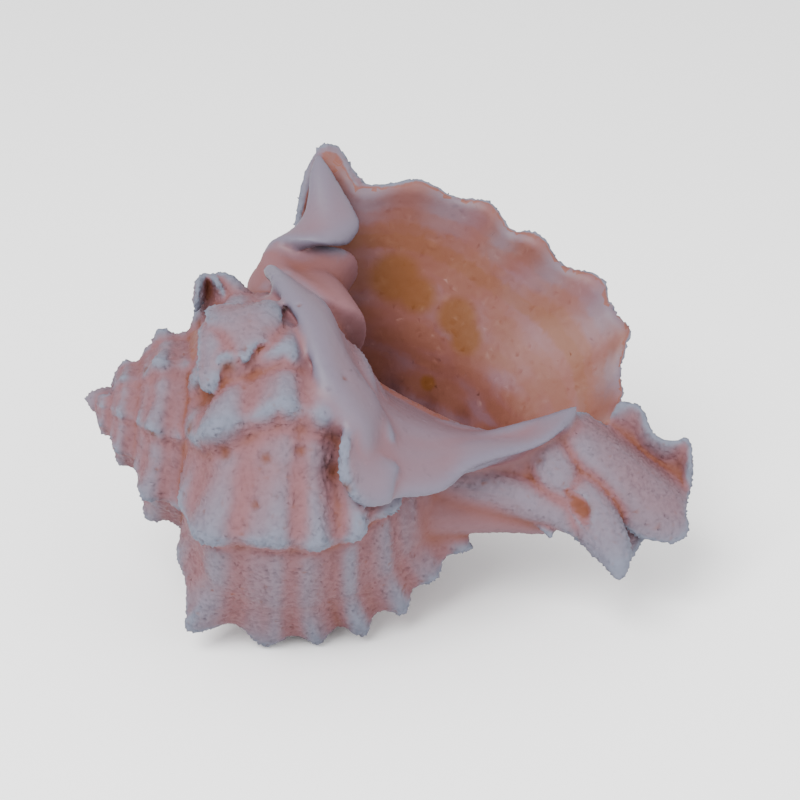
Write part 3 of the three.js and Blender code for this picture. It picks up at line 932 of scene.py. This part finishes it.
# Three noises that start at 200 mm and coarsen from there, so each stays close to one tone
# over the shell: what varies from place to place comes from the attributes.
where = add(tree, "ShaderNodeTexCoord").outputs["Object"]
PER_METRE = 5.0
cloud = add(tree, noise, where, PER_METRE, 110.0, 5.0, 0.6)
speck = add(tree, noise, where, PER_METRE, 700.0, 5.0, 0.7)
blot = add(tree, noise, where, PER_METRE, 160.0, 6.0, 0.65)
clouded, specked, blotted = (add(tree, "SUBTRACT", n, 0.5) for n in (cloud, speck, blot))

# Outside: painted light and shade, from blue-white crests as a painted highlight down to rust
# as painted shade in the deepest recesses, with some silt and noise.
shelter = add(tree, "MULTIPLY_ADD", carried["deep"], 0.6, carried["recess"])
shelter = add(tree, "MULTIPLY_ADD", clouded, 1.7, shelter)
shelter = add(tree, "MULTIPLY_ADD", specked, 0.7, shelter)
outside = WORN_AND_HIGHLIT
for low, high, deeper in ((-0.85, 0.25, ROSE), (0.15, 0.9, DUSKY), (0.7, 1.7, RUST_AND_SHADE)):
    depth = add(tree, ranged, shelter, low, high, **smooth)
    outside = add(tree, mix, depth, outside, deeper, **colours)
pitted = add(tree, "MULTIPLY", carried["pit"], 0.8)
outside = add(tree, mix, pitted, outside, RUST_AND_SHADE, **colours)
pinhole = add(tree, "ShaderNodeTexVoronoi", where, PER_METRE, 190.0)
pinhole = add(tree, ranged, pinhole, 0.07, 0.12, 1.0, 0.0, **smooth)
pinhole = add(tree, "MULTIPLY", pinhole, add(tree, ranged, cloud, 0.5, 0.56, **smooth))
pinhole = add(tree, "MULTIPLY", pinhole, 0.8)
outside = add(tree, mix, pinhole, outside, RUST_AND_SHADE, **colours)
# Painted shade: creases darkened to rust, broken up by noise.
crease_shade = add(tree, "MULTIPLY_ADD", specked, 0.8, carried["crease"])
crease_shade = add(tree, ranged, crease_shade, 0.35, 0.9, **smooth)
crease_shade = add(tree, "MULTIPLY", crease_shade, add(tree, ranged, cloud, 0.4, 0.58, **smooth))
outside = add(tree, mix, crease_shade, outside, RUST_AND_SHADE, **colours)

# The shield and the channel: glossy callus with painted light and shade, paler as a painted
# highlight where it swells and rose or dusky as painted shade in its hollows, mixed with patches.
patch = add(tree, "MULTIPLY_ADD", specked, 0.8, cloud)
patch_and_shade = add(tree, "MULTIPLY_ADD", carried["deep"], 0.25, patch)
toward_shade = add(tree, ranged, patch_and_shade, 0.38, 0.62, **smooth)
porcelain = add(tree, mix, toward_shade, PALE, ROSE, **colours)
toward_shade = add(tree, ranged, patch_and_shade, 0.4, 0.62, **smooth)
channel = add(tree, mix, toward_shade, ROSE, DUSKY, **colours)

# Inside: arcs that follow the old lips, rust-brown stain settled in the throat, a darker
# stripe behind the lip as painted shade where its inner step is, and the lip's flutes worn pale.
arcs = add(tree, "MULTIPLY", carried["turn"], 0.05)
arcs = add(tree, "ShaderNodeCombineXYZ", arcs, add(tree, "MULTIPLY", carried["station"], 0.16))
arcs = add(tree, noise, arcs, PER_METRE, 1.0, 5.0, 0.6)
tone = add(tree, "MULTIPLY_ADD", clouded, 0.7, arcs)
warmth = add(tree, ranged, tone, 0.25, 0.5, **smooth)
inside = add(tree, mix, warmth, ROSE, THROAT, **colours)
streak = add(tree, "MULTIPLY", add(tree, ranged, tone, 0.45, 0.62, **smooth), 0.25)
inside = add(tree, mix, streak, inside, STAIN_AND_SHADE, **colours)
# Painted shade: a darker stripe behind the lip, where the lip's inner step lies.
lip_step_shade = add(tree, "MULTIPLY_ADD", clouded, 9.0, carried["turn"])
lip_step_shade = add(tree, "ABSOLUTE", add(tree, "ADD", lip_step_shade, 8.5))
lip_step_shade = add(tree, ranged, lip_step_shade, 0.5, 3.0, 0.5, 0.0, **smooth)
inside = add(tree, mix, lip_step_shade, inside, STAIN_AND_SHADE, **colours)
stained = add(tree, "MULTIPLY_ADD", blotted, 1.8, carried["stain"])
stained = add(tree, ranged, stained, 0.2, 0.6, **smooth)
within = add(tree, ranged, carried["stain"], 0.0, 0.25, **smooth)
stained = add(tree, "MULTIPLY", stained, within)
inside = add(tree, mix, stained, inside, STAIN_AND_SHADE, **colours)
flute = add(tree, "COSINE", add(tree, "MULTIPLY", carried["station"], math.pi))
flute = add(tree, "MULTIPLY_ADD", flute, 0.16, patch)
flute = add(tree, ranged, flute, 0.2, 0.9, **smooth)
at_lip = add(tree, "MULTIPLY_ADD", clouded, 8.0, carried["turn"])
at_lip = add(tree, ranged, at_lip, -8.0, 1.0, **smooth)
flute = add(tree, "MULTIPLY", flute, at_lip)
inside = add(tree, mix, flute, inside, PALE, **colours)

# All of it together, with rust-brown dirt and painted shade in the pits, and a soft shine where
# the shell is smooth.
soiled_and_shaded = add(tree, "MULTIPLY_ADD", blotted, 2.4, carried["soil"])
soiled_and_shaded = add(tree, ranged, soiled_and_shaded, 0.3, 1.0, **smooth)
within = add(tree, ranged, carried["soil"], 0.0, 0.4, **smooth)
soiled_and_shaded = add(tree, "MULTIPLY", add(tree, "MULTIPLY", soiled_and_shaded, within), 0.85)
colour = add(tree, mix, carried["rose"], outside, channel, **colours)
colour = add(tree, mix, carried["shield"], colour, porcelain, **colours)
colour = add(tree, mix, soiled_and_shaded, colour, RUST_AND_SHADE, **colours)
in_hollow = add(tree, ranged, carried["hollow"], 0.3, 0.7, **smooth)
colour = add(tree, mix, in_hollow, colour, inside, **colours)
polish = add(tree, "MAXIMUM", carried["hollow"], carried["shield"])
dullness = add(tree, ranged, polish, 0.0, 1.0, 0.75, 0.52, **smooth)
bumpy = add(tree, ranged, polish, 0.0, 1.0, 1.0, 0.4, **smooth)
bumpy = add(tree, "MULTIPLY", speck, bumpy)
BUMP_DEPTH = 0.00012
relief = add(tree, "ShaderNodeBump", 0.35, BUMP_DEPTH, None, bumpy)
shader = tree.nodes["Principled BSDF"]
shader.inputs["Specular IOR Level"].default_value = 0.3
for made, socket in (
    (colour.outputs[2], "Base Color"), (dullness.outputs[0], "Roughness"),
    (relief.outputs[0], "Normal"),
):
    tree.links.new(made, shader.inputs[socket])
shell.data.materials.clear()
shell.data.materials.append(shell_material)
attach(shell, "root")
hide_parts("shell")

# ---- Floor and light ------------------------------------------------------------------
# A plain pale floor under broad soft light, brighter from above on the left.
bpy.ops.mesh.primitive_plane_add(size=6, location=(0, 0, 0))
floor = bpy.context.object
floor.name = "floor"
paper = bpy.data.materials.new("paper")
paper.use_nodes = True
matt = paper.node_tree.nodes["Principled BSDF"].inputs
matt["Base Color"].default_value = linear("FBFBFB")
matt["Roughness"].default_value = 0.9
floor.data.materials.append(paper)
world = bpy.data.worlds.new("studio")
bpy.context.scene.world = world
world.use_nodes = True
sky = world.node_tree.nodes["Background"].inputs
sky["Color"].default_value = linear("FFFFFF")
sky["Strength"].default_value = 1.5
for name, at, size, power in (
    ("key", (-0.3, -0.5, 0.75), 0.5, 15.0),
    ("fill", (0.6, -0.5, 0.4), 0.6, 3.0),
):
    data = bpy.data.lights.new(name, "AREA")
    data.size, data.energy = size, power
    light = bpy.data.objects.new(name, data)
    bpy.context.collection.objects.link(light)
    light.location = at
    towards = Vector(at) - Vector((0, 0, 0.03))
    light.rotation_euler = towards.to_track_quat("Z", "Y").to_euler()
